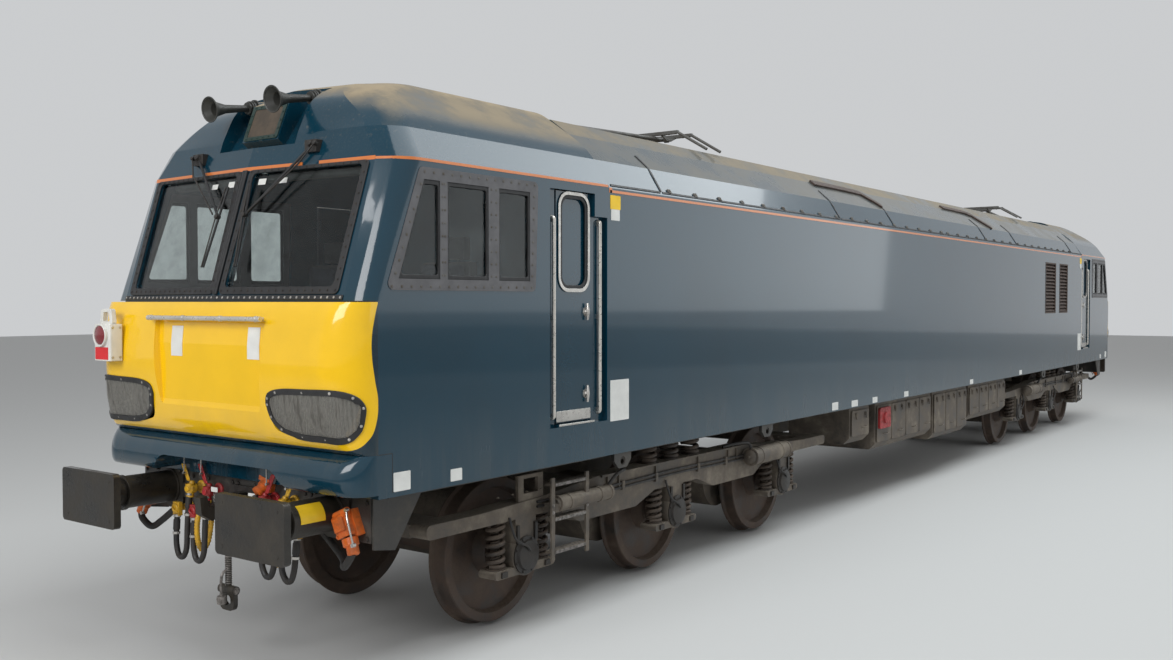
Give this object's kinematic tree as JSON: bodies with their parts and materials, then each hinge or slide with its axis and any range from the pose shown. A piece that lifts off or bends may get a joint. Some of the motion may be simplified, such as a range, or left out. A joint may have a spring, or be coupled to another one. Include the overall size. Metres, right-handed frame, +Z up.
{
  "type": "electric locomotive",
  "caption": "Electric locomotive with hollow cabs, hinged doors, folding pantographs, turning bogies and wheelsets that roll on rails.",
  "frame": {"origin": "on the ground under the middle of the locomotive, at the lowest point of the wheel flanges", "axes": "+X forward towards end 1, +Y to its left side, +Z up; the rail tops are 28 mm above the origin"},
  "size_m": [21.34, 2.682, 4.055],
  "materials": {
    "body_blue": "gloss",
    "roof_blue": "satin",
    "nose_yellow": "gloss",
    "frame_grey": "satin",
    "glass": "clear",
    "black_rubber": "satin",
    "lamp_glass": "clear",
    "bogie_steel": "matt",
    "spring_steel": "matt",
    "wheel_steel": "rough, bright tread",
    "buffer_steel": "satin",
    "rail_bright": "satin",
    "horn_dark": "satin",
    "louvre_brown": "matt",
    "insulator_brown": "gloss",
    "roof_steel": "matt",
    "panto_steel": "satin",
    "lamp_white": "satin",
    "fitting_orange": "satin",
    "cab_grey": "matt",
    "transformer_grey": "matt"
  },
  "bodies": {
    "body": {"body_side_left": "body_blue", "body_side_right": "body_blue", "brake_hoses": "black_rubber", "buffers": "buffer_steel", "cab_desks": "cab_grey", "cab_glass": "glass", "cab_roof_1": "roof_blue", "cab_roof_2": "roof_blue", "cab_shell_1": "body_blue", "cab_shell_2": "body_blue", "draw_gear": "buffer_steel", "equipment_cases": "bogie_steel", "handrails": "rail_bright", "horns": "horn_dark", "hose_fittings": "fitting_orange", "lamp_frames": "black_rubber", "lamp_glass": "lamp_glass", "nose_1": "nose_yellow", "nose_2": "nose_yellow", "roof_equipment": "roof_steel", "roof_hatch_1": "roof_blue", "roof_hatch_2": "roof_blue", "roof_hatch_3": "roof_blue", "roof_insulators": "insulator_brown", "side_grilles": "louvre_brown", "tail_lamp": "lamp_white", "transformer": "transformer_grey", "underframe": "bogie_steel", "valance_1": "body_blue", "valance_2": "body_blue", "window_frames": "frame_grey", "wipers": "black_rubber"},
    "wheelset_1": {"wheelset_1": "wheel_steel"},
    "wheelset_2": {"wheelset_2": "wheel_steel"},
    "wheelset_3": {"wheelset_3": "wheel_steel"},
    "wheelset_4": {"wheelset_4": "wheel_steel"},
    "wheelset_5": {"wheelset_5": "wheel_steel"},
    "wheelset_6": {"wheelset_6": "wheel_steel"},
    "bogie_1": {"bogie_1": "bogie_steel", "bogie_springs_1": "spring_steel"},
    "door_1_left": {"door_1_left": "body_blue"},
    "door_1_right": {"door_1_right": "body_blue"},
    "pantograph_arm_1": {"pantograph_arm_1": "panto_steel"},
    "pantograph_upper_1": {"pantograph_upper_1": "panto_steel"},
    "pantograph_head_1": {"pantograph_head_1": "panto_steel"},
    "bogie_2": {"bogie_2": "bogie_steel", "bogie_springs_2": "spring_steel"},
    "door_2_left": {"door_2_left": "body_blue"},
    "door_2_right": {"door_2_right": "body_blue"},
    "pantograph_arm_2": {"pantograph_arm_2": "panto_steel"},
    "pantograph_upper_2": {"pantograph_upper_2": "panto_steel"},
    "pantograph_head_2": {"pantograph_head_2": "panto_steel"}
  },
  "joints": [
    {"name": "bogie_1_yaw", "type": "hinge", "parent": "body", "child": "bogie_1", "pos_m": [6.4, 0, 0.9], "axis": [0, 0, 1], "range_deg": [-4, 4]},
    {"name": "bogie_2_yaw", "type": "hinge", "parent": "body", "child": "bogie_2", "pos_m": [-6.4, 0, 0.9], "axis": [0, 0, 1], "range_deg": [-4, 4]},
    {"name": "wheelset_1_roll", "type": "hinge", "parent": "bogie_1", "child": "wheelset_1", "pos_m": [8.467, 0, 0.563], "axis": [0, 1, 0], "continuous": true},
    {"name": "wheelset_2_roll", "type": "hinge", "parent": "bogie_1", "child": "wheelset_2", "pos_m": [6.4, 0, 0.563], "axis": [0, 1, 0], "continuous": true},
    {"name": "wheelset_3_roll", "type": "hinge", "parent": "bogie_1", "child": "wheelset_3", "pos_m": [4.333, 0, 0.563], "axis": [0, 1, 0], "continuous": true},
    {"name": "wheelset_4_roll", "type": "hinge", "parent": "bogie_2", "child": "wheelset_4", "pos_m": [-8.467, 0, 0.563], "axis": [0, 1, 0], "continuous": true},
    {"name": "wheelset_5_roll", "type": "hinge", "parent": "bogie_2", "child": "wheelset_5", "pos_m": [-6.4, 0, 0.563], "axis": [0, 1, 0], "continuous": true},
    {"name": "wheelset_6_roll", "type": "hinge", "parent": "bogie_2", "child": "wheelset_6", "pos_m": [-4.333, 0, 0.563], "axis": [0, 1, 0], "continuous": true},
    {"name": "door_1_left_hinge", "type": "hinge", "parent": "body", "child": "door_1_left", "pos_m": [8.354, 1.237, 1.5], "axis": [0, 0, 1], "range_deg": [0, 90]},
    {"name": "door_1_right_hinge", "type": "hinge", "parent": "body", "child": "door_1_right", "pos_m": [8.354, -1.237, 1.5], "axis": [0, 0, -1], "range_deg": [0, 90]},
    {"name": "door_2_right_hinge", "type": "hinge", "parent": "body", "child": "door_2_right", "pos_m": [-8.354, -1.237, 1.5], "axis": [0, 0, 1], "range_deg": [0, 90]},
    {"name": "door_2_left_hinge", "type": "hinge", "parent": "body", "child": "door_2_left", "pos_m": [-8.354, 1.237, 1.5], "axis": [0, 0, -1], "range_deg": [0, 90]},
    {"name": "pantograph_1_lift", "type": "hinge", "parent": "body", "child": "pantograph_arm_1", "pos_m": [5.15, 0, 3.925], "axis": [0, -1, 0], "range_deg": [0, 50]},
    {"name": "pantograph_1_knuckle", "type": "hinge", "parent": "pantograph_arm_1", "child": "pantograph_upper_1", "pos_m": [7.15, 0, 3.968], "axis": [0, -1, 0], "range_deg": [-101, 0]},
    {"name": "pantograph_1_head_level", "type": "hinge", "parent": "pantograph_upper_1", "child": "pantograph_head_1", "pos_m": [5.3, 0, 3.998], "axis": [0, -1, 0], "range_deg": [0, 51]},
    {"name": "pantograph_2_lift", "type": "hinge", "parent": "body", "child": "pantograph_arm_2", "pos_m": [-5.15, 0, 3.925], "axis": [0, 1, 0], "range_deg": [0, 50]},
    {"name": "pantograph_2_knuckle", "type": "hinge", "parent": "pantograph_arm_2", "child": "pantograph_upper_2", "pos_m": [-7.15, 0, 3.968], "axis": [0, 1, 0], "range_deg": [-101, 0]},
    {"name": "pantograph_2_head_level", "type": "hinge", "parent": "pantograph_upper_2", "child": "pantograph_head_2", "pos_m": [-5.3, 0, 3.998], "axis": [0, 1, 0], "range_deg": [0, 51]}
  ],
  "couplings": [
    {"joint": "pantograph_1_knuckle", "follows": "pantograph_1_lift", "ratio": -2},
    {"joint": "pantograph_1_head_level", "follows": "pantograph_1_lift", "ratio": 1},
    {"joint": "pantograph_2_knuckle", "follows": "pantograph_2_lift", "ratio": -2},
    {"joint": "pantograph_2_head_level", "follows": "pantograph_2_lift", "ratio": 1}
  ]
}
